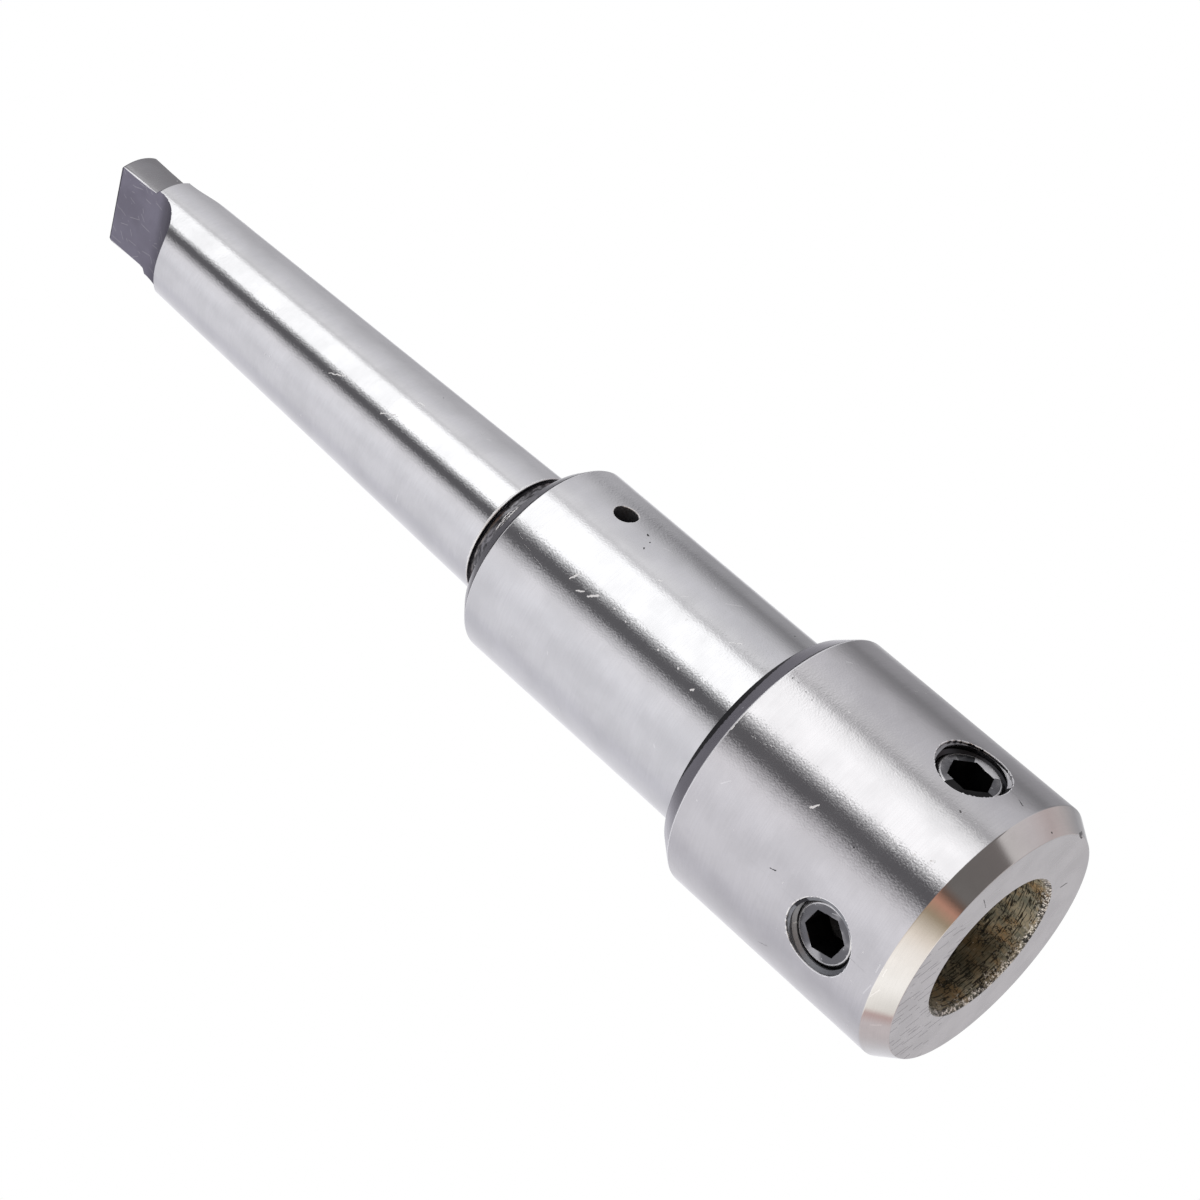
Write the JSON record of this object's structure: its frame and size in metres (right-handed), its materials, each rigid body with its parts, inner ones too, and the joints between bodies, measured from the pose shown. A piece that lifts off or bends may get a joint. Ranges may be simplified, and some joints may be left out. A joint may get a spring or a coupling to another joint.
{
  "type": "weldon shank adapter",
  "caption": "Turned steel holder with a Morse taper and tang behind, and a bore in front that clamps a cutter shank with radial set screws.",
  "frame": {"origin": "centre of the front face, where the bore opens", "axes": "+Z along the turning axis towards the tang; +X and +Y through the set screws"},
  "size_m": [0.0364, 0.0364, 0.1601],
  "materials": {
    "ground_steel": "bright ground steel with fine scratches; tang flats duller, bore oily and dark",
    "black_oxide_steel": "black oxide, worn to grey on the bevel of the face"
  },
  "bodies": {
    "holder": {"adapter_body": "ground_steel"},
    "screw_x": {"set_screw_x": "black_oxide_steel"},
    "screw_y": {"set_screw_y": "black_oxide_steel"}
  },
  "joints": [
    {"name": "screw_x_feed", "type": "slide", "parent": "holder", "child": "screw_x", "axis": [1, 0, 0], "range_m": [-0.0015, 0.009]},
    {"name": "screw_y_feed", "type": "slide", "parent": "holder", "child": "screw_y", "axis": [0, 1, 0], "range_m": [-0.0015, 0.009]}
  ]
}
